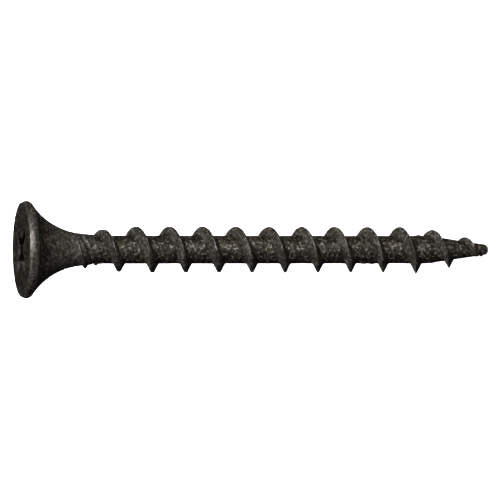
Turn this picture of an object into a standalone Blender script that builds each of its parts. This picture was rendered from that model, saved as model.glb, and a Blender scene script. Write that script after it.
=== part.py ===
"""Black phosphated wood screw: bugle head, cross recess number 2, coarse right-hand thread, 41 mm long.

The screw's axis is Z. The origin is the centre of the head's flat face, +Z is the way the head faces, and the
point is at the bottom. A screw is one piece of headed and thread-rolled wire, so the model is one solid.
Three forms make it: a turned body, a helical ridge joined to it, and a cross-shaped cutter for the recess.
"""

import math

import bmesh
import bpy
from mathutils import Vector

MM = 0.001

# Overall
LENGTH = 41.0 * MM
STEPS_PER_TURN = 32

# Head: a flat face, a rim that bulges a little in its middle, and the trumpet-shaped underside
HEAD_RADIUS = 4.1 * MM
FACE_RADIUS = 3.86 * MM
EDGE_DROP = 0.07 * MM
RIM_WIDEST = -0.42 * MM
RIM_DEPTH = 0.76 * MM
RIM_BULGE = 0.12 * MM
RIM_SEGMENTS = 4
BUGLE_SEGMENTS = 10

# Shank and core
NECK_RADIUS = 1.34 * MM
BUGLE_ARC = 5.92 * MM
ROOT_RADIUS = 1.19 * MM
ROOT_TOP = -7.2 * MM

# Point
POINT_TOP = -35.6 * MM
NOSE_TOP = -40.62 * MM
NOSE_RADIUS = 0.47 * MM
NOSE_SEGMENTS = 3

# Thread
PITCH = 2.90 * MM
CREST_RADIUS = 1.96 * MM
FLANK_HALF_ANGLE = math.radians(26.0)
CREST_FLAT = 0.22 * MM
RIDGE_SINK = 0.12 * MM
RIDGE_TOP = -4.49 * MM
RIDGE_TOP_ANGLE = math.radians(-10.0)
RIDGE_TURNS = 12.5
FULL_THREAD_TOP = -9.0 * MM
FULL_THREAD_BOTTOM = -34.6 * MM
RIDGE_END_HEIGHT = -0.04 * MM
FADE_POWER = 1.5

# Cross recess number 2: wings along X and Y that narrow downwards, over a cone
WING_SPAN = 4.4 * MM
WING_END_ANGLE = math.radians(26.5)
WING_BOTTOM_SPAN = 2.29 * MM
WING_THICKNESS = 0.90 * MM
WING_BOTTOM_THICKNESS = 0.66 * MM
CORE_CORNER = 1.0 * MM
CORE_BOTTOM_CORNER = 0.76 * MM
CONE_ANGLE = math.radians(140.0)
CUTTER_RISE = 0.3 * MM

MERGE_DISTANCE = 0.001 * MM
SHARP_EDGE = math.radians(35.0)

RIDGE_HEIGHT = CREST_RADIUS - ROOT_RADIUS
RIDGE_BOTTOM = RIDGE_TOP - RIDGE_TURNS * PITCH
RIM_CORNER_RADIUS = HEAD_RADIUS - RIM_BULGE
BUGLE_END = -RIM_DEPTH - math.sqrt(BUGLE_ARC**2 - (BUGLE_ARC - (RIM_CORNER_RADIUS - NECK_RADIUS)) ** 2)


def clear_scene():
    for obj in list(bpy.data.objects):
        bpy.data.objects.remove(obj, do_unlink=True)


def new_collection(name):
    collection = bpy.data.collections.new(name)
    bpy.context.scene.collection.children.link(collection)
    return collection


def phosphated_steel():
    material = bpy.data.materials.new("phosphated_steel")
    material.use_nodes = True
    shader = material.node_tree.nodes["Principled BSDF"]
    shader.inputs["Base Color"].default_value = (0.045, 0.041, 0.036, 1.0)
    shader.inputs["Metallic"].default_value = 0.6
    shader.inputs["Roughness"].default_value = 0.5
    return material


def smooth_ramp(value, start, end):
    """0 at start, 1 at end, level at both."""
    share = min(max((value - start) / (end - start), 0.0), 1.0)
    return share * share * (3.0 - 2.0 * share)


def straight_ramp(value, start, end):
    return min(max((value - start) / (end - start), 0.0), 1.0)


def rim_radius(z):
    """Radius of the rim, largest at RIM_WIDEST and smallest at its lower corner."""
    share = (z - RIM_WIDEST) / (RIM_DEPTH + RIM_WIDEST)
    return HEAD_RADIUS - RIM_BULGE * share * share


def body_radius(z):
    """Radius of the turned body under the rim, without the thread."""
    if z > BUGLE_END:
        return NECK_RADIUS + BUGLE_ARC - math.sqrt(BUGLE_ARC**2 - (z - BUGLE_END) ** 2)
    if z > POINT_TOP:
        return NECK_RADIUS + (ROOT_RADIUS - NECK_RADIUS) * smooth_ramp(z, BUGLE_END, ROOT_TOP)
    if z > NOSE_TOP:
        return ROOT_RADIUS + (NOSE_RADIUS - ROOT_RADIUS) * straight_ramp(z, POINT_TOP, NOSE_TOP)
    drop = min((NOSE_TOP - z) / (NOSE_TOP + LENGTH), 1.0)
    return NOSE_RADIUS * math.sqrt(1.0 - drop * drop)


def ridge_height(z):
    """How far the thread's crest stands out of the body: full along the shank, under the skin at both ends."""
    fade = straight_ramp(z, FULL_THREAD_TOP, RIDGE_TOP) + straight_ramp(z, FULL_THREAD_BOTTOM, RIDGE_BOTTOM)
    return RIDGE_HEIGHT + (RIDGE_END_HEIGHT - RIDGE_HEIGHT) * fade**FADE_POWER


def body_outline():
    """Radius and height along the outer side, from the middle of the face down to the point."""
    outline = [(0.0, 0.0), (FACE_RADIUS, 0.0)]
    for i in range(RIM_SEGMENTS):
        z = -EDGE_DROP - (RIM_DEPTH - EDGE_DROP) * i / RIM_SEGMENTS
        outline.append((rim_radius(z), z))
    heights = [-RIM_DEPTH + (BUGLE_END + RIM_DEPTH) * i / BUGLE_SEGMENTS for i in range(BUGLE_SEGMENTS + 1)]
    heights += [(BUGLE_END + ROOT_TOP) / 2, ROOT_TOP, POINT_TOP]
    for i in range(NOSE_SEGMENTS):
        drop = math.sin(math.pi / 2 * i / NOSE_SEGMENTS)
        heights.append(NOSE_TOP - (NOSE_TOP + LENGTH) * drop)
    outline += [(body_radius(z), z) for z in heights]
    outline.append((0.0, -LENGTH))
    return outline


def outline_object(name, outline, closed, collection):
    """A chain of edges in the XZ plane, at +X."""
    mesh = bpy.data.meshes.new(name)
    edges = [(i, i + 1) for i in range(len(outline) - 1)]
    if closed:
        edges.append((len(outline) - 1, 0))
    mesh.from_pydata([(radius, 0.0, z) for radius, z in outline], edges, [])
    obj = bpy.data.objects.new(name, mesh)
    collection.objects.link(obj)
    return obj


def add_screw(obj, angle, rise, steps):
    screw = obj.modifiers.new("Screw", "SCREW")
    screw.axis = "Z"
    screw.angle = angle
    screw.screw_offset = rise
    screw.steps = steps
    screw.render_steps = steps
    screw.use_merge_vertices = True
    screw.merge_threshold = MERGE_DISTANCE
    return screw


def turned_body(collection):
    body = outline_object("screw", body_outline(), False, collection)
    add_screw(body, math.tau, 0.0, STEPS_PER_TURN)
    return body


def ridge_outline():
    """The thread's section, from under the root surface out to the crest and back."""
    reach = (RIDGE_HEIGHT + RIDGE_SINK) * math.tan(FLANK_HALF_ANGLE)
    inner = ROOT_RADIUS - RIDGE_SINK
    crest = CREST_FLAT / 2
    return [(inner, crest + reach), (CREST_RADIUS, crest), (CREST_RADIUS, -crest), (inner, -crest - reach)]


def shape_ridge(mesh):
    """Fits the even helix to the body: it follows the taper of the point and fades out at both ends."""
    for vertex in mesh.vertices:
        x, y, z = vertex.co
        turn = math.atan2(y, x) / math.tau
        turn += round(z / PITCH - turn)
        centre = turn * PITCH
        height = ridge_height(RIDGE_BOTTOM + centre)
        share = (height + RIDGE_SINK) / (RIDGE_HEIGHT + RIDGE_SINK)
        depth = (CREST_RADIUS - math.hypot(x, y)) * share
        z = centre + (z - centre) * share
        radius = body_radius(RIDGE_BOTTOM + z) + height - depth
        vertex.co = (radius * math.cos(turn * math.tau), radius * math.sin(turn * math.tau), z)


def thread_ridge(collection):
    """A helical ridge with closed ends, wound up from the point; its ends are buried in the body."""
    profile = outline_object("ridge_profile", ridge_outline(), True, collection)
    steps = round(RIDGE_TURNS * STEPS_PER_TURN)
    add_screw(profile, RIDGE_TURNS * math.tau, RIDGE_TURNS * PITCH, steps)
    depsgraph = bpy.context.evaluated_depsgraph_get()
    mesh = bpy.data.meshes.new_from_object(profile.evaluated_get(depsgraph))
    bpy.data.objects.remove(profile, do_unlink=True)
    shape_ridge(mesh)
    solid = bmesh.new()
    solid.from_mesh(mesh)
    bmesh.ops.holes_fill(solid, edges=solid.edges, sides=0)
    bmesh.ops.recalc_face_normals(solid, faces=solid.faces)
    solid.to_mesh(mesh)
    solid.free()
    ridge = bpy.data.objects.new("thread_ridge", mesh)
    ridge.location.z = RIDGE_BOTTOM
    ridge.rotation_euler.z = RIDGE_TOP_ANGLE - RIDGE_TURNS * math.tau
    collection.objects.link(ridge)
    return ridge


def cross_section(half_span, half_thickness, corner):
    """Sixteen points round a cross whose inner corners are cut off square to their diagonals."""
    shoulder = corner * math.sqrt(2.0) - half_thickness
    arm = [
        (half_span, -half_thickness),
        (half_span, half_thickness),
        (shoulder, half_thickness),
        (half_thickness, shoulder),
    ]
    points = []
    for quarter in range(4):
        cos, sin = round(math.cos(quarter * math.pi / 2)), round(math.sin(quarter * math.pi / 2))
        points += [(x * cos - y * sin, x * sin + y * cos) for x, y in arm]
    return points


def recess_cutter(collection):
    """A loft between two crosses of one tapered form, closed by a cap above the face and a cone below."""
    wing_depth = (WING_SPAN - WING_BOTTOM_SPAN) / 2 / math.tan(WING_END_ANGLE)
    cone_depth = WING_BOTTOM_SPAN / 2 / math.tan(CONE_ANGLE / 2)

    def at_depth(depth):
        share = depth / wing_depth
        half_span = (WING_SPAN + (WING_BOTTOM_SPAN - WING_SPAN) * share) / 2
        half_thickness = (WING_THICKNESS + (WING_BOTTOM_THICKNESS - WING_THICKNESS) * share) / 2
        corner = CORE_CORNER + (CORE_BOTTOM_CORNER - CORE_CORNER) * share
        return [Vector((x, y, -depth)) for x, y in cross_section(half_span, half_thickness, corner)]

    solid = bmesh.new()
    top = [solid.verts.new(point) for point in at_depth(-CUTTER_RISE)]
    bottom = [solid.verts.new(point) for point in at_depth(wing_depth)]
    apex = solid.verts.new((0.0, 0.0, -wing_depth - cone_depth))
    solid.faces.new(top)
    for i, vertex in enumerate(bottom):
        before = bottom[i - 1]
        solid.faces.new((top[i - 1], before, vertex, top[i]))
        solid.faces.new((before, apex, vertex))
    bmesh.ops.recalc_face_normals(solid, faces=solid.faces)
    mesh = bpy.data.meshes.new("recess_cutter")
    solid.to_mesh(mesh)
    solid.free()
    cutter = bpy.data.objects.new("recess_cutter", mesh)
    collection.objects.link(cutter)
    return cutter


def add_boolean(obj, operand, operation):
    boolean = obj.modifiers.new(operand.name, "BOOLEAN")
    boolean.operation = operation
    boolean.object = operand
    operand.hide_render = True
    operand.display_type = "WIRE"


def finish_surface(obj):
    """Makes the modifiers' result the object's mesh, smooth but for its real edges."""
    depsgraph = bpy.context.evaluated_depsgraph_get()
    mesh = bpy.data.meshes.new_from_object(obj.evaluated_get(depsgraph))
    obj.modifiers.clear()
    obj.data = mesh
    mesh.shade_smooth()
    mesh.set_sharp_from_angle(angle=SHARP_EDGE)


def main():
    clear_scene()
    parts = new_collection("wood_screw")
    cutters = new_collection("cutters")
    screw = turned_body(parts)
    add_boolean(screw, thread_ridge(cutters), "UNION")
    add_boolean(screw, recess_cutter(cutters), "DIFFERENCE")
    finish_surface(screw)
    screw.data.materials.clear()
    screw.data.materials.append(phosphated_steel())


main()
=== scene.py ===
"""The looks of the black phosphated wood screw: one fine mesh in place of the plain CAD solid.

The mesh is built in millimetres round the screw's axis, with the head's face at height 0 and the point below:
rings for the recess, the head and the nose, and between them a net whose rows follow the thread's helix.
"""

import math

import bpy
import numpy as np
from mathutils import Matrix, Vector, noise


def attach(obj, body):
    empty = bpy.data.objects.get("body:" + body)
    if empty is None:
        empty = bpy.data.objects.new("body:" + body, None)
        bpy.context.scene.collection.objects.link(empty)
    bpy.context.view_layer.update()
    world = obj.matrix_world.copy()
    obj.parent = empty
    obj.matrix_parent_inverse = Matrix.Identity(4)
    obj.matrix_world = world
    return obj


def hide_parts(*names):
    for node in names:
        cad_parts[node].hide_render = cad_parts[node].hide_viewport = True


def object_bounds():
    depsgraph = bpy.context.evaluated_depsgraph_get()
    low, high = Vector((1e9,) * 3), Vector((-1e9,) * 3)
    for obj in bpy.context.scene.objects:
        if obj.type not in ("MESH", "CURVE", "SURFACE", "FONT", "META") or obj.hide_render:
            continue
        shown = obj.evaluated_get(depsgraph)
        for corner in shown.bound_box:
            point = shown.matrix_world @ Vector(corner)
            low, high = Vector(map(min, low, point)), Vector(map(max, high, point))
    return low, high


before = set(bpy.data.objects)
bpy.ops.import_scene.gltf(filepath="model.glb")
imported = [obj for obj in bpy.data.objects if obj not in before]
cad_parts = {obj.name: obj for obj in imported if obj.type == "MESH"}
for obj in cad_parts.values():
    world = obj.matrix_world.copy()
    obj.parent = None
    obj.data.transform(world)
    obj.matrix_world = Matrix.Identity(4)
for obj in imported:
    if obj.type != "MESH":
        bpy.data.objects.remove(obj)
CAD_LOW, CAD_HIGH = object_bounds()

MM = 0.001
HEAD_RADIUS = CAD_HIGH.x / MM
LENGTH = (CAD_HIGH.z - CAD_LOW.z) / MM

# Mesh
COLUMNS = 160
ROWS_PER_TURN = 44
FACE_RINGS = 24
NOSE_RINGS = 9
NET_TOP = -4.1

# Recess
WING_SPAN = 4.4
WING_BOTTOM_SPAN = 2.29
WING_DEPTH = (WING_SPAN - WING_BOTTOM_SPAN) / 2 / math.tan(math.radians(26.5))
WING_THICKNESS = 0.90
WING_BOTTOM_THICKNESS = 0.66
CORE_CORNER = 1.0
CORE_BOTTOM_CORNER = 0.76
CONE_DROP = math.tan(math.radians(20.0))
MOUTH_EASE = 0.06

# Head and bugle
FACE_RADIUS = 3.86
EDGE_ROUND = 0.07
RIM_WIDEST = -0.42
RIM_DEPTH = 0.76
RIM_BULGE = 0.12
RIM_CORNER_RADIUS = HEAD_RADIUS - RIM_BULGE
NECK_RADIUS = 1.34
BUGLE_ARC = 5.92
BUGLE_END = -RIM_DEPTH - math.sqrt(BUGLE_ARC**2 - (BUGLE_ARC - (RIM_CORNER_RADIUS - NECK_RADIUS)) ** 2)

# Shank and point
ROOT_RADIUS = 1.19
ROOT_TOP = -7.2
POINT_TOP = -35.6
NOSE_TOP = -40.62
NOSE_RADIUS = 0.47

# Thread
PITCH = 2.90
CREST_RADIUS = 1.975
FLANK_SLOPE = 1.0 / math.tan(math.radians(25.5))
ROOT_EASE = 0.03
CREST_EASE = 0.03
PHASE_ANGLE = math.radians(225.0)
CREST_AT_PHASE = -8.40
RIDGE_START = -4.2
RIDGE_FULL = -5.6
THREAD_FULL = -9.0
LEAN_SHARE = 0.17
UNFILLED = 0.045
SMEAR_DEPTH = 0.12
SECOND_RIDGE = 0.07

# Burrs left by the rolling dies on the root: height above zero, angle, how far each stands out, and its size
BURRS = (
    (-34.75, 45.0, 0.10, 0.16),
    (-35.45, 48.0, 0.07, 0.20),
    (-29.9, 222.0, 0.045, 0.22),
    (-30.6, 226.0, 0.055, 0.20),
    (-36.0, 215.0, 0.05, 0.20),
    (-40.0, 225.0, 0.06, 0.14),
    (-6.35, 224.0, 0.05, 0.25),
)

# How bright each place is painted, from 0 to 1: wear on the crest and the nose, wear and painted highlight on
# the rim and the neck, painted light on two of the recess's wings and on the flank on the head's side, and
# less of it on the rim's sides as painted shade
RIM_BAND_WEAR_AND_HIGHLIGHT = 0.38
RIM_TOP_WEAR_AND_HIGHLIGHT = 0.75
RIM_BOTTOM_WEAR_AND_HIGHLIGHT = 0.4
RIM_SIDES_PAINTED_SHADE = 0.6
NECK_WEAR_AND_SHEEN = 0.36
LIT_WING_PAINTED_LIGHT = 0.8
LIT_EDGE_PAINTED_HIGHLIGHT = 0.5
CREST_RUB = 0.18
HEAD_SIDE_FLANK_HIGHLIGHT = 0.30
NOSE_RUB = 0.25

# How darkened each place is, from 0 to 1: painted shade on the face, under the rim and in the thread's feet
# and grooves, and dirt on the nose
FACE_PAINTED_SHADE = 0.4
UNDER_RIM_PAINTED_SHADE = 0.35
THREAD_FOOT_PAINTED_SHADE = 0.85
SMEAR_GROOVE_PAINTED_SHADE = 0.95
UNFILLED_GROOVE_PAINTED_SHADE = 0.5
NOSE_DIRT = 0.2

# Colours of the coat, of its wear with painted highlight, and of its dirt with painted shade
CRYSTAL_DARK = (0.010, 0.0085, 0.0045, 1.0)
CRYSTAL_LIGHT = (0.068, 0.059, 0.035, 1.0)
PATCH = (0.008, 0.007, 0.0045, 1.0)
ROLLING_MARK = (0.140, 0.125, 0.098, 1.0)
FLECK = (0.30, 0.28, 0.265, 1.0)
# Lighter colour for wear and for painted highlights
WEAR_AND_HIGHLIGHT_COLOUR = (0.22, 0.208, 0.199, 1.0)
# Near black for painted shade and for dirt
SHADE_AND_DIRT_COLOUR = (0.0025, 0.002, 0.0013, 1.0)

# The photograph's view: the screw lies across the picture, head to the left, so the camera is on its side
TOWARDS_VIEWER = Vector((1.0, -1.0, 0.0)).normalized()
PICTURE_UP = Vector((1.0, 1.0, 0.0)).normalized()
UP = Vector((0.0, 0.0, 1.0))
AIM = Vector((0.0, 0.0, -19.81 * MM)) - PICTURE_UP * 0.03 * MM
VIEW_DISTANCE = 340.4 * MM
VIEW_TILT = math.radians(14.2)
LENS = 288.0

# Lights
LIGHT_DISTANCE = 0.4
KEY_POWER = 2.2
KEY_COLOUR = (1.0, 0.98, 0.955)
FILL_POWER = 3.2
TOP_POWER = 0.12
ROOM_LIGHT = 0.012


def ramp(value, start, end):
    return np.clip((value - start) / (end - start), 0.0, 1.0)


def smooth_ramp(value, start, end):
    share = ramp(value, start, end)
    return share * share * (3.0 - 2.0 * share)


def soft_floor(value, ease):
    """value where it is above 0, 0 where it is below, with a rounded change."""
    return 0.5 * (value + np.sqrt(value * value + 4.0 * ease * ease))


def bump(value, centre, width):
    return np.exp(-(((value - centre) / width) ** 2))


def field(points, scale, seed):
    """Smooth noise between about -1 and 1, with features of the given size in millimetres."""
    shift = Vector((17.3 * seed, -9.1 * seed, 5.7 * seed))
    return np.array([noise.noise(Vector(p) / scale + shift) for p in points])


def body_radius(z):
    """Radius of the body under the rim, without the thread."""
    z = np.asarray(z, float)
    from_end = np.maximum(z - BUGLE_END, 0.0)
    bugle = NECK_RADIUS + BUGLE_ARC - np.sqrt(np.maximum(BUGLE_ARC**2 - from_end**2, 0.0))
    shank = bugle + (ROOT_RADIUS - NECK_RADIUS) * smooth_ramp(z, BUGLE_END + 0.6, ROOT_TOP)
    point = ROOT_RADIUS + (NOSE_RADIUS - ROOT_RADIUS) * ramp(z, POINT_TOP, NOSE_TOP)
    return np.where(z > POINT_TOP, shank, point)


def crest_height(z):
    """How far the thread's crest stands out of the body where the crest is at height z.
    It starts as a low ridge on the neck, rises in the first two turns and sinks again on the point."""
    ridge = 0.25 * ramp(z, RIDGE_START, RIDGE_FULL)
    first_turn = 0.40 * smooth_ramp(z, RIDGE_FULL, ROOT_TOP)
    second_turn = 0.35 * ramp(z, -6.8, THREAD_FULL)
    swelling = 0.14 * smooth_ramp(z, -4.3, -4.6) * smooth_ramp(z, -6.3, -5.3)
    sunk = ramp(z, -34.8, -41.2) ** 1.7
    return (CREST_RADIUS - ROOT_RADIUS) * (ridge + first_turn + second_turn + swelling) * (1.0 - sunk)


def crest_half_flat(z):
    """Half the width of the crest: widest in the first turns, where the metal has not filled the dies."""
    width = 0.145 - 0.045 * smooth_ramp(z, -16.0, -24.0) - 0.045 * smooth_ramp(z, -30.0, -35.0)
    width += 0.07 * bump(z, -6.95, 0.7)
    return width * np.minimum(crest_height(z) / 0.35, 1.0) ** 1.5


def crest_drift(z):
    """The thread's pitch opens a little on the point."""
    return -0.16 * ramp(z, -33.5, -39.0)


def leaning(z):
    """Where the turns at the point are rolled off the axis: taller at the phase angle, lower opposite it."""
    return smooth_ramp(z, -33.2, -34.0) * smooth_ramp(z, -38.6, -37.6)


def unfilled(z):
    """Where the first turns have a narrow groove along the crest, as the ridge's two sides have not met."""
    return smooth_ramp(z, -6.0, -6.7) * smooth_ramp(z, -21.0, -17.0)


def smeared(z):
    """Where the metal beside the thread's start is dragged into a groove and a second ridge."""
    return smooth_ramp(z, -4.0, -4.4) * smooth_ramp(z, -6.6, -5.7)


def thread_height(offset, crest_z, unevenness):
    """Height over the body at a distance along the axis from the crest."""
    crest = crest_height(crest_z) * (1.0 + unevenness)
    flank = crest - soft_floor(np.abs(offset) - crest_half_flat(crest_z), CREST_EASE) * FLANK_SLOPE
    flank = flank - UNFILLED * unfilled(crest_z) * bump(offset, 0.01, 0.055)
    return soft_floor(flank, ROOT_EASE)


def burr_height(z, theta):
    """The few burrs on the root, as small rounded bumps."""
    height = np.zeros(len(z))
    for burr_z, degrees, stands, size in BURRS:
        around = (theta - math.radians(degrees) + math.pi) % math.tau - math.pi
        height += stands * np.exp(-(((z - burr_z) / size) ** 2) - (around * ROOT_RADIUS / (1.6 * size)) ** 2)
    return height


ANGLES = np.arange(COLUMNS) * math.tau / COLUMNS


def ring(radius, z):
    return np.stack([radius * np.cos(ANGLES), radius * np.sin(ANGLES), np.full(COLUMNS, z)], axis=1)


def cross_outline(depth):
    """COLUMNS points round the recess at a depth, the same point of the cross at every depth."""
    share = depth / WING_DEPTH
    span = (WING_SPAN + (WING_BOTTOM_SPAN - WING_SPAN) * share) / 2
    half = (WING_THICKNESS + (WING_BOTTOM_THICKNESS - WING_THICKNESS) * share) / 2
    corner = (CORE_CORNER + (CORE_BOTTOM_CORNER - CORE_CORNER) * share) * math.sqrt(2.0) - half
    stops = [(span, 0.0), (span, half), (corner, half), (half, corner), (half, span), (0.0, span)]
    quarter = COLUMNS // 4
    end, side = quarter // 8, quarter // 4 - 1
    counts = [end, side, quarter - 2 * (end + side), side, end]
    points = []
    for (x0, y0), (x1, y1), count in zip(stops, stops[1:], counts):
        points += [(x0 + (x1 - x0) * i / count, y0 + (y1 - y0) * i / count) for i in range(count)]
    arms = [np.array(points)]
    for _ in range(3):
        last = arms[-1]
        arms.append(np.stack([-last[:, 1], last[:, 0]], axis=1))
    return np.concatenate(arms)


def recess_rings():
    """From just round the apex, out over the cone and up the walls to the face."""
    floor = cross_outline(WING_DEPTH)
    rings = []
    for share in np.linspace(0.12, 1.0, 7):
        xy = floor * share
        drop = CONE_DROP * (WING_BOTTOM_SPAN / 2 - np.hypot(xy[:, 0], xy[:, 1]))
        rings.append(np.column_stack([xy, -WING_DEPTH - np.maximum(drop, 0.0)]))
    for depth in np.linspace(WING_DEPTH, MOUTH_EASE, 18)[1:]:
        rings.append(np.column_stack([cross_outline(depth), np.full(COLUMNS, -depth)]))
    mouth = cross_outline(MOUTH_EASE)
    away = mouth / np.hypot(mouth[:, 0], mouth[:, 1])[:, None]
    for turn in (0.25, 0.5, 0.75, 1.0):
        angle = turn * math.pi / 2
        xy = mouth + away * MOUTH_EASE * (1.0 - math.cos(angle))
        rings.append(np.column_stack([xy, np.full(COLUMNS, -MOUTH_EASE * (1.0 - math.sin(angle)))]))
    return rings


def face_rings(mouth):
    """From the recess's mouth over the flat face to the start of the rounded edge."""
    flat = ring(FACE_RADIUS, 0.0)
    return [mouth * (1.0 - share) + flat * share for share in np.linspace(0.0, 1.0, FACE_RINGS + 1)[1:]]


def rim_radius(z):
    """The rim is a low barrel, widest in its middle."""
    share = (z - RIM_WIDEST) / (RIM_DEPTH + RIM_WIDEST)
    return HEAD_RADIUS - RIM_BULGE * share * share


def rim_rings():
    """Round the face's edge, and down the rim."""
    rings = []
    start = rim_radius(-EDGE_ROUND)
    for turn in np.linspace(0.0, math.pi / 2, 6)[1:-1]:
        radius = FACE_RADIUS + (start - FACE_RADIUS) * math.sin(turn)
        rings.append(ring(radius, -EDGE_ROUND * (1.0 - math.cos(turn))))
    for z in np.linspace(-EDGE_ROUND, -RIM_DEPTH, 15):
        rings.append(ring(rim_radius(z), z))
    return rings


def bugle_rings():
    heights = -RIM_DEPTH + (NET_TOP + RIM_DEPTH) * np.linspace(0.0, 1.0, 45)[1:] ** 1.15
    return [ring(float(body_radius(z)), z) for z in heights]


class Surface:
    """The mesh in the making. Each point has three marks: how bright it is painted, partly for wear and
    partly as painted highlight; how much it is darkened, mostly painted shade in the recess, on the face,
    under the rim and in the thread's feet, and some dirt on the nose; and its lane, the distance along the
    axis from the thread's crest, the same all along one rolling mark."""

    def __init__(self):
        self.points, self.faces = [], []
        self.marks = {"wear_and_highlight": [], "shade_and_dirt": [], "lane": []}
        self.count = 0

    def add(self, points, wear_and_highlight, shade_and_dirt, lane=None):
        """Adds points and returns the number of the first one. Off the thread the lane is the height."""
        first = self.count
        self.points.append(points)
        self.marks["wear_and_highlight"].append(np.broadcast_to(wear_and_highlight, len(points)))
        self.marks["shade_and_dirt"].append(np.broadcast_to(shade_and_dirt, len(points)))
        self.marks["lane"].append(points[:, 2] if lane is None else lane)
        self.count += len(points)
        return first

    def join_rings(self, starts):
        for upper, lower in zip(starts, starts[1:]):
            for j in range(COLUMNS):
                k = (j + 1) % COLUMNS
                self.faces.append((upper + j, lower + j, lower + k, upper + k))


def lit_wings_painted_light(xy):
    """Painted light on the walls of the two wings towards -PICTURE_UP, where light reaches into the recess,
    with a brighter painted line where the lit part begins.
    """
    off_centre = (xy[:, 0] + xy[:, 1]) / math.sqrt(2.0)
    wings = LIT_WING_PAINTED_LIGHT * smooth_ramp(off_centre, -0.95, -1.10)
    line = LIT_EDGE_PAINTED_HIGHLIGHT * bump(off_centre, -1.05, 0.08)
    return np.minimum(wings + line, 1.0)


def rim_and_neck_wear_and_highlight(xy, height, near_edge):
    """Part wear, part painted highlight: a band round the rim, brighter along its two edges, with less of it
    towards the sides along PICTURE_UP as painted shade, and the neck, lighter with wear and painted sheen.
    """
    band = RIM_BAND_WEAR_AND_HIGHLIGHT * smooth_ramp(height, 0.0, -0.03) * smooth_ramp(height, -RIM_DEPTH - 0.04, -RIM_DEPTH)
    top = RIM_TOP_WEAR_AND_HIGHLIGHT * bump(height, -0.10, 0.10) * near_edge
    bottom = RIM_BOTTOM_WEAR_AND_HIGHLIGHT * bump(height, -RIM_DEPTH + 0.04, 0.05)
    off_centre = (xy[:, 0] + xy[:, 1]) / math.sqrt(2.0)
    # Painted shade: the rim is less bright towards the sides along PICTURE_UP.
    at_sides = RIM_SIDES_PAINTED_SHADE * smooth_ramp(np.abs(off_centre), 2.2, 3.6)
    rim = (band + top + bottom) * (1.0 - at_sides)
    return np.minimum(rim + NECK_WEAR_AND_SHEEN * smooth_ramp(height, -1.3, -2.2), 1.0)


def add_head(surface):
    """The recess, the face, the rim and the bugle. Returns the number of the lowest ring's first point."""
    recess = recess_rings()
    rings = recess + face_rings(recess[-1]) + rim_rings() + bugle_rings()
    # The apex is painted full shade.
    apex = surface.add(np.array([[0.0, 0.0, recess[0][:, 2].min() - 0.02]]), 0.0, 1.0)
    starts = []
    for from_mouth, one in enumerate(rings, 1 - len(recess)):
        height = one[:, 2].mean()
        # The mouth's edge is lighter: partly wear, partly painted highlight.
        wear_and_highlight = bump(from_mouth, -0.5, 1.4)
        if from_mouth > 0:
            near_edge = from_mouth > FACE_RINGS - 4
            # Rim and neck: wear and painted highlight.
            wear_and_highlight = np.maximum(wear_and_highlight, rim_and_neck_wear_and_highlight(one, height, near_edge))
        else:
            # Two wings get painted light where the light reaches into the recess.
            wear_and_highlight = np.maximum(wear_and_highlight, lit_wings_painted_light(one))
        if from_mouth < 0:
            # Painted shade deepening into the recess, lifted where two wings carry painted light.
            shade_and_dirt = smooth_ramp(-one[:, 2], 0.01, 0.11) * (1.0 - lit_wings_painted_light(one))
        else:
            # Painted shade on the flat face and on the bugle just under the rim.
            shade_and_dirt = FACE_PAINTED_SHADE * (height > -0.04) + UNDER_RIM_PAINTED_SHADE * bump(height, -RIM_DEPTH - 0.2, 0.4)
        starts.append(surface.add(one, wear_and_highlight, shade_and_dirt))
    for j in range(COLUMNS):
        surface.faces.append((apex, starts[0] + j, starts[0] + (j + 1) % COLUMNS))
    surface.join_rings(starts)
    return starts[-1]


def row_offsets():
    """Where the rows of one turn lie along the axis, from half a pitch above the crest to half below.
    Rows crowd where the profile turns: at the crest and in the two roots."""
    fine = np.linspace(-PITCH / 2, PITCH / 2, 2001)
    root = 0.12 + (CREST_RADIUS - ROOT_RADIUS) / FLANK_SLOPE
    density = 1.0 + 4.0 * bump(fine, 0.0, 0.20) + 1.6 * bump(np.abs(fine), root, 0.12)
    total = np.concatenate([[0.0], np.cumsum((density[1:] + density[:-1]) / 2)])
    return -np.interp(np.linspace(0.0, total[-1], ROWS_PER_TURN + 1)[:-1], total, fine)


def net_grid():
    """For each row and column of the net, the height of the crest that it belongs to and its own height."""
    turns = math.ceil((NET_TOP - NOSE_TOP) / PITCH) + 3
    row = np.arange(turns * ROWS_PER_TURN)
    highest = CREST_AT_PHASE + PITCH * (math.ceil((NET_TOP - CREST_AT_PHASE) / PITCH) + 1)
    at_zero = highest - PITCH * PHASE_ANGLE / math.tau
    crest = at_zero - PITCH * (row // ROWS_PER_TURN)[:, None] + PITCH * (ANGLES / math.tau)[None, :]
    crest = crest + crest_drift(crest)
    return crest, crest + row_offsets()[row % ROWS_PER_TURN][:, None]


def thread_wear_and_highlight(z, offset, stands, tall):
    """The crest is scuffed by wear; the flank on the head's side gets a painted highlight, and the end of the
    neck is lighter with wear and painted sheen.
    """
    on_crest = CREST_RUB * smooth_ramp(stands / np.maximum(tall, 0.08), 0.82, 1.0) * ramp(tall, 0.02, 0.12)
    # Painted highlight on the flank on the head's side.
    above_crest = smooth_ramp(offset, 0.06, 0.16) * smooth_ramp(offset, 0.56, 0.42)
    on_flank = HEAD_SIDE_FLANK_HIGHLIGHT * above_crest * ramp(tall, 0.1, 0.4)
    # Lighter end of the neck: wear and painted sheen.
    on_neck = NECK_WEAR_AND_SHEEN * smooth_ramp(z, -6.6, -5.2)
    return np.maximum.reduce([on_crest, on_flank, on_neck])


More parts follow.
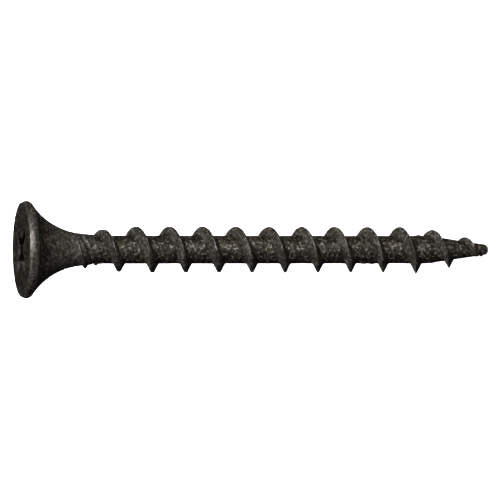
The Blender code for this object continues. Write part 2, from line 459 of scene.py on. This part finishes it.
def thread_painted_shade(crest_z, offset, tall):
    """Painted shade along both feet of the thread, more on the tip's side, in the dragged groove and in the
    unfilled one.
    """
    foot = crest_half_flat(crest_z) + tall / FLANK_SLOPE
    in_foot = bump(np.abs(offset), foot + 0.02, 0.07) * ramp(tall, 0.05, 0.3)
    # The painted shade is stronger at the foot on the tip's side.
    in_foot *= np.where(offset < 0, 1.0, 0.75)
    in_smear = smeared(crest_z) * bump(offset, -0.62, 0.10)
    in_line = unfilled(crest_z) * bump(offset, 0.01, 0.04)
    return np.maximum.reduce([THREAD_FOOT_PAINTED_SHADE * in_foot, SMEAR_GROOVE_PAINTED_SHADE * in_smear, UNFILLED_GROOVE_PAINTED_SHADE * in_line])


def add_thread(surface, ring_above):
    """The shank with its thread, between the bugle's last ring and the nose's first, which comes next."""
    crest, heights = net_grid()
    spacing = PITCH / ROWS_PER_TURN * 0.35
    above = heights > NET_TOP - spacing
    below = heights < NOSE_TOP + spacing
    inside = ~(above | below)
    theta = np.broadcast_to(ANGLES, heights.shape)[inside]
    z, crest_z = heights[inside], crest[inside]
    along = np.column_stack([CREST_RADIUS * np.cos(theta), CREST_RADIUS * np.sin(theta), crest_z])
    unevenness = 0.035 * field(along, 0.7, 1) + 0.022 * field(along, 0.22, 2)
    unevenness += LEAN_SHARE * leaning(crest_z) * np.cos(theta - PHASE_ANGLE)
    wander = 0.020 * field(along, 1.1, 3) + 0.008 * field(along, 0.3, 4)
    offset = z - crest_z + wander
    stands = thread_height(offset, crest_z, unevenness)
    stands -= SMEAR_DEPTH * smeared(crest_z) * bump(offset, -0.66, 0.10)
    stands += SECOND_RIDGE * smeared(crest_z) * bump(offset, -0.92, 0.12) * (1.0 + field(along, 0.25, 11))
    radius = body_radius(z) + stands + burr_height(z, theta)
    points = np.column_stack([radius * np.cos(theta), radius * np.sin(theta), z])
    tall = crest_height(crest_z)
    thread_shine_and_wear = thread_wear_and_highlight(z, offset, stands, tall)
    first = surface.add(points, thread_shine_and_wear, thread_painted_shade(crest_z, offset, tall), offset)

    columns = np.broadcast_to(np.arange(COLUMNS), heights.shape)
    index = np.zeros(heights.shape, int)
    index[above] = ring_above + columns[above]
    index[inside] = first + np.arange(inside.sum())
    index[below] = surface.count + columns[below]
    for row in range(len(index) - 1):
        for j in range(COLUMNS):
            upper, lower = index[row, j], index[row + 1, j]
            if j + 1 < COLUMNS:
                next_upper, next_lower = index[row, j + 1], index[row + 1, j + 1]
            else:
                back = row - ROWS_PER_TURN
                next_upper = index[back, 0] if back >= 0 else ring_above
                next_lower = index[back + 1, 0] if back + 1 >= 0 else ring_above
            corners = list(dict.fromkeys((upper, lower, next_lower, next_upper)))
            if len(corners) > 2:
                surface.faces.append(tuple(int(c) for c in corners))


def add_nose(surface):
    starts = []
    for turn in np.linspace(0.0, math.pi / 2, NOSE_RINGS + 1)[:-1]:
        one = ring(NOSE_RADIUS * math.cos(turn), NOSE_TOP - (LENGTH + NOSE_TOP) * math.sin(turn))
        starts.append(surface.add(one, NOSE_RUB, NOSE_DIRT))
    tip = surface.add(np.array([[0.0, 0.0, -LENGTH]]), NOSE_RUB, NOSE_DIRT)
    surface.join_rings(starts)
    for j in range(COLUMNS):
        surface.faces.append((starts[-1] + j, tip, starts[-1] + (j + 1) % COLUMNS))


def roughen(points, normals):
    """Small uneven places: crystals all over, waves from forming, dents on the head and a ragged nose."""
    grain = 0.006 * field(points, 0.13, 5) + 0.008 * field(points, 0.34, 6)
    waves = 0.010 * field(points, 1.3, 7)
    on_head = smooth_ramp(points[:, 2], -1.6, -1.0)
    dents = -0.035 * on_head * smooth_ramp(field(points, 0.55, 8), 0.42, 0.75)
    on_nose = smooth_ramp(points[:, 2], -39.2, -40.2)
    ragged = on_nose * (0.05 * field(points, 0.32, 9) + 0.02 * field(points, 0.15, 10))
    return points + normals * (grain + waves + dents + ragged)[:, None]


def build_screw():
    surface = Surface()
    last_ring = add_head(surface)
    add_thread(surface, last_ring)
    add_nose(surface)
    points = np.concatenate(surface.points)
    mesh = bpy.data.meshes.new("screw_surface")
    mesh.from_pydata(points.tolist(), [], surface.faces)
    normals = np.zeros(len(points) * 3)
    mesh.vertices.foreach_get("normal", normals)
    points = roughen(points, normals.reshape(-1, 3)) * MM
    mesh.vertices.foreach_set("co", points.ravel())
    mesh.validate(verbose=True)
    mesh.update()
    for name, values in surface.marks.items():
        mesh.attributes.new(name, "FLOAT", "POINT").data.foreach_set("value", np.concatenate(values))
    mesh.shade_smooth()
    mesh.set_sharp_from_angle(angle=math.radians(50.0))
    screw = bpy.data.objects.new("screw_surface", mesh)
    bpy.context.scene.collection.objects.link(screw)
    return screw


class Nodes:
    """Short calls for making and joining a material's nodes."""

    def __init__(self, material):
        self.tree = material.node_tree

    def add(self, kind, **settings):
        node = self.tree.nodes.new(kind)
        for name, value in settings.items():
            setattr(node, name, value)
        return node

    def join(self, source, target):
        """Links an output to a socket, or sets the socket to a number or a colour."""
        if isinstance(source, (int, float, tuple)):
            target.default_value = source
        else:
            self.tree.links.new(source, target)

    def mark(self, name):
        return self.add("ShaderNodeAttribute", attribute_name=name).outputs["Fac"]

    def noise(self, coordinates, scale, detail=3.0, roughness=0.6, distortion=0.0):
        node = self.add("ShaderNodeTexNoise")
        self.join(coordinates, node.inputs["Vector"])
        node.inputs["Scale"].default_value = scale
        node.inputs["Detail"].default_value = detail
        node.inputs["Roughness"].default_value = roughness
        node.inputs["Distortion"].default_value = distortion
        return node.outputs["Fac"]

    def math(self, operation, first, second):
        node = self.add("ShaderNodeMath", operation=operation)
        self.join(first, node.inputs[0])
        self.join(second, node.inputs[1])
        return node.outputs[0]

    def between(self, value, low, high, to_low=0.0, to_high=1.0):
        """Runs smoothly from to_low to to_high as the value goes from low to high."""
        node = self.add("ShaderNodeMapRange", interpolation_type="SMOOTHSTEP")
        self.join(value, node.inputs["Value"])
        node.inputs["From Min"].default_value = low
        node.inputs["From Max"].default_value = high
        node.inputs["To Min"].default_value = to_low
        node.inputs["To Max"].default_value = to_high
        return node.outputs["Result"]

    def mix(self, factor, first, second):
        node = self.add("ShaderNodeMix", data_type="RGBA")
        self.join(factor, node.inputs["Factor"])
        self.join(first, node.inputs["A"])
        self.join(second, node.inputs["B"])
        return node.outputs["Result"]


def along_the_lanes(nodes, millimetres, lane):
    """Coordinates that change slowly round and along the screw and fast from lane to lane."""
    slow = nodes.add("ShaderNodeVectorMath", operation="MULTIPLY")
    nodes.join(millimetres, slow.inputs[0])
    slow.inputs[1].default_value = (0.9, 0.9, 0.9)
    across = nodes.add("ShaderNodeCombineXYZ")
    nodes.join(nodes.math("MULTIPLY", lane, 6.5), across.inputs["Z"])
    both = nodes.add("ShaderNodeVectorMath", operation="ADD")
    nodes.join(slow.outputs["Vector"], both.inputs[0])
    nodes.join(across.outputs["Vector"], both.inputs[1])
    return both.outputs["Vector"]


def phosphate():
    """Black phosphate on steel: fine mottled crystals, lighter on edges with wear and painted highlight, and
    near black with painted shade in corners and hollows.
    """
    material = bpy.data.materials.new("phosphated_steel")
    material.use_nodes = True
    nodes = Nodes(material)
    shader = material.node_tree.nodes["Principled BSDF"]
    scaled = nodes.add("ShaderNodeVectorMath", operation="SCALE")
    nodes.join(nodes.add("ShaderNodeTexCoord").outputs["Object"], scaled.inputs[0])
    scaled.inputs["Scale"].default_value = 1.0 / MM
    millimetres = scaled.outputs["Vector"]
    wear_and_highlight, shade_and_dirt, lane = nodes.mark("wear_and_highlight"), nodes.mark("shade_and_dirt"), nodes.mark("lane")

    crystals = nodes.noise(millimetres, 4.4, 3.0, 0.62)
    patches = nodes.noise(millimetres, 1.7, 2.0, 0.5, 0.8)
    flecks = nodes.noise(millimetres, 4.4, 1.0, 0.4, 0.5)
    drawn = nodes.noise(along_the_lanes(nodes, millimetres, lane), 1.0)
    # How much of the lighter colour: wear and painted highlight
    wear_and_highlight_amount = nodes.math("MULTIPLY", wear_and_highlight, nodes.between(crystals, 0.36, 0.54, 0.35, 1.0))
    # How much painted shade and dirt darken the coat
    shade_and_dirt_amount = nodes.math("MULTIPLY", shade_and_dirt, nodes.between(patches, 0.2, 0.6, 1.0, 0.9))

    coat = nodes.mix(nodes.between(crystals, 0.37, 0.63), CRYSTAL_DARK, CRYSTAL_LIGHT)
    coat = nodes.mix(nodes.between(patches, 0.45, 0.58, 0.0, 0.92), coat, PATCH)
    coat = nodes.mix(nodes.between(drawn, 0.50, 0.64, 0.0, 0.7), coat, ROLLING_MARK)
    coat = nodes.mix(nodes.between(flecks, 0.58, 0.65, 0.0, 0.7), coat, FLECK)
    coat = nodes.mix(nodes.math("MULTIPLY", wear_and_highlight_amount, 0.8), coat, WEAR_AND_HIGHLIGHT_COLOUR)
    # Near black where shade is painted and where there is dirt
    coat = nodes.mix(shade_and_dirt_amount, coat, SHADE_AND_DIRT_COLOUR)
    nodes.join(coat, shader.inputs["Base Color"])
    # Metallic rises with the painted shade and dirt, so the near-black colour keeps no shine
    nodes.join(nodes.math("MAXIMUM", shade_and_dirt_amount, 0.6), shader.inputs["Metallic"])
    shader.inputs["Specular IOR Level"].default_value = 0.6

    rough = nodes.between(patches, 0.40, 0.60, 0.42, 0.53)
    flank = nodes.math("MULTIPLY", nodes.between(lane, 0.03, 0.12), nodes.between(lane, 0.50, 0.65, 1.0, 0.0))
    rough = nodes.math("ADD", rough, nodes.math("MULTIPLY", flank, 0.28))
    rough = nodes.math("SUBTRACT", rough, nodes.math("MULTIPLY", wear_and_highlight_amount, 0.10))
    rough = nodes.math("ADD", rough, nodes.math("MULTIPLY", shade_and_dirt_amount, 0.3))
    nodes.join(rough, shader.inputs["Roughness"])

    height = nodes.math("ADD", nodes.math("MULTIPLY", crystals, 0.8), nodes.math("MULTIPLY", drawn, 0.7))
    height = nodes.math("ADD", height, nodes.math("MULTIPLY", patches, 1.5))
    height = nodes.math("ADD", height, nodes.math("MULTIPLY", nodes.noise(millimetres, 17.0, 2.0), 0.1))
    relief = nodes.add("ShaderNodeBump")
    relief.inputs["Strength"].default_value = 0.6
    relief.inputs["Distance"].default_value = 0.07 * MM
    nodes.join(height, relief.inputs["Height"])
    nodes.join(relief.outputs["Normal"], shader.inputs["Normal"])
    return material


def add_camera():
    back = TOWARDS_VIEWER * math.cos(VIEW_TILT) + UP * math.sin(VIEW_TILT)
    right = PICTURE_UP.cross(back)
    data = bpy.data.cameras.new("camera")
    data.lens = LENS
    data.clip_start = 0.001
    data.clip_end = 10.0
    camera = bpy.data.objects.new("camera", data)
    bpy.context.scene.collection.objects.link(camera)
    turn = Matrix((right, PICTURE_UP, back)).transposed()
    camera.matrix_world = Matrix.Translation(AIM + back * VIEW_DISTANCE) @ turn.to_4x4()
    bpy.context.scene.camera = camera


def add_soft_box(name, direction, width, length, power, colour=(1.0, 1.0, 1.0)):
    """A soft box aimed at the middle of the screw, with its length along the screw's axis."""
    data = bpy.data.lights.new(name, "AREA")
    data.shape = "RECTANGLE"
    data.size, data.size_y = width, length
    data.energy = power
    data.color = colour
    light = bpy.data.objects.new(name, data)
    bpy.context.scene.collection.objects.link(light)
    back = direction.normalized()
    across = UP.cross(back).normalized()
    turn = Matrix((across, back.cross(across), back)).transposed()
    light.matrix_world = Matrix.Translation(AIM + back * LIGHT_DISTANCE) @ turn.to_4x4()
    return light


def add_lights():
    """A key on the viewer's side, two fills behind that leave no reflections, and a little from above."""
    key_side = TOWARDS_VIEWER * 0.84 + UP * 0.38 + PICTURE_UP * 0.36
    add_soft_box("key", key_side, 0.18, 0.34, KEY_POWER, KEY_COLOUR)
    for side in (-1.0, 1.0):
        behind = PICTURE_UP * 0.42 * side - TOWARDS_VIEWER * 0.87 + UP * 0.1
        fill = add_soft_box("fill", behind, 0.2, 0.3, FILL_POWER)
        fill.visible_glossy = False
    top = bpy.data.lights.new("top", "SUN")
    top.energy = TOP_POWER
    top.angle = math.radians(50.0)
    bpy.context.scene.collection.objects.link(bpy.data.objects.new("top", top))


def add_floor():
    """A plain white floor under the point, which shines evenly and throws no light on the screw."""
    bpy.ops.mesh.primitive_plane_add(size=4.0, location=(0.0, 0.0, CAD_LOW.z))
    floor = bpy.context.object
    floor.name = "floor"
    material = bpy.data.materials.new("floor")
    material.use_nodes = True
    shader = material.node_tree.nodes["Principled BSDF"]
    shader.inputs["Base Color"].default_value = (0.92, 0.92, 0.92, 1.0)
    shader.inputs["Roughness"].default_value = 1.0
    shader.inputs["Specular IOR Level"].default_value = 0.0
    shader.inputs["Emission Color"].default_value = (1.0, 1.0, 1.0, 1.0)
    shader.inputs["Emission Strength"].default_value = 1.0
    floor.data.materials.append(material)
    floor.visible_diffuse = False
    floor.visible_glossy = False


def add_world():
    """A dim grey room that the camera sees as white."""
    world = bpy.data.worlds.new("world")
    bpy.context.scene.world = world
    world.use_nodes = True
    nodes, links = world.node_tree.nodes, world.node_tree.links
    path = nodes.new("ShaderNodeLightPath")
    mix = nodes.new("ShaderNodeMix")
    mix.data_type = "RGBA"
    mix.inputs["A"].default_value = (ROOM_LIGHT, ROOM_LIGHT, ROOM_LIGHT, 1.0)
    mix.inputs["B"].default_value = (1.0, 1.0, 1.0, 1.0)
    links.new(path.outputs["Is Camera Ray"], mix.inputs["Factor"])
    links.new(mix.outputs["Result"], nodes["Background"].inputs["Color"])
    bpy.context.scene.view_settings.view_transform = "Standard"


add_camera()
screw = build_screw()
screw.data.materials.append(phosphate())
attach(screw, "root")
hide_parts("screw")
add_lights()
add_floor()
add_world()
